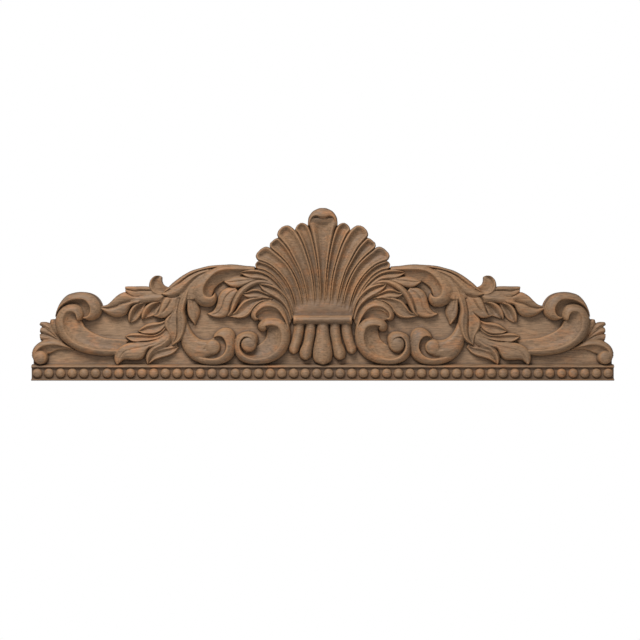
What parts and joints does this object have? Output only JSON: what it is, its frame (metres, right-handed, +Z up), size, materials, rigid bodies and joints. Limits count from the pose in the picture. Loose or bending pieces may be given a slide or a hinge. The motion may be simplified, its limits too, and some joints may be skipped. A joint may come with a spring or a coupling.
{
  "type": "carved wooden headpiece",
  "caption": "Carved wooden headpiece with a flat back: a fluted shell crest between C-scrolls and acanthus leaves, stepping down to end scrolls on a beaded base moulding.",
  "frame": {"origin": "on the flat back, on the centre line, at the middle of the panel's height", "axes": "+Z up the panel, -Y out of the carved face towards the viewer, +Y into the wall, +X along the width to the viewer's right"},
  "size_m": [1.22, 0.046, 0.3613],
  "materials": {
    "carved_wood": "mid-brown stained hardwood, rubbed lighter on the high edges and darker in the recesses, low sheen"
  },
  "bodies": {
    "root": {"carved_headpiece": "carved_wood"}
  },
  "joints": []
}
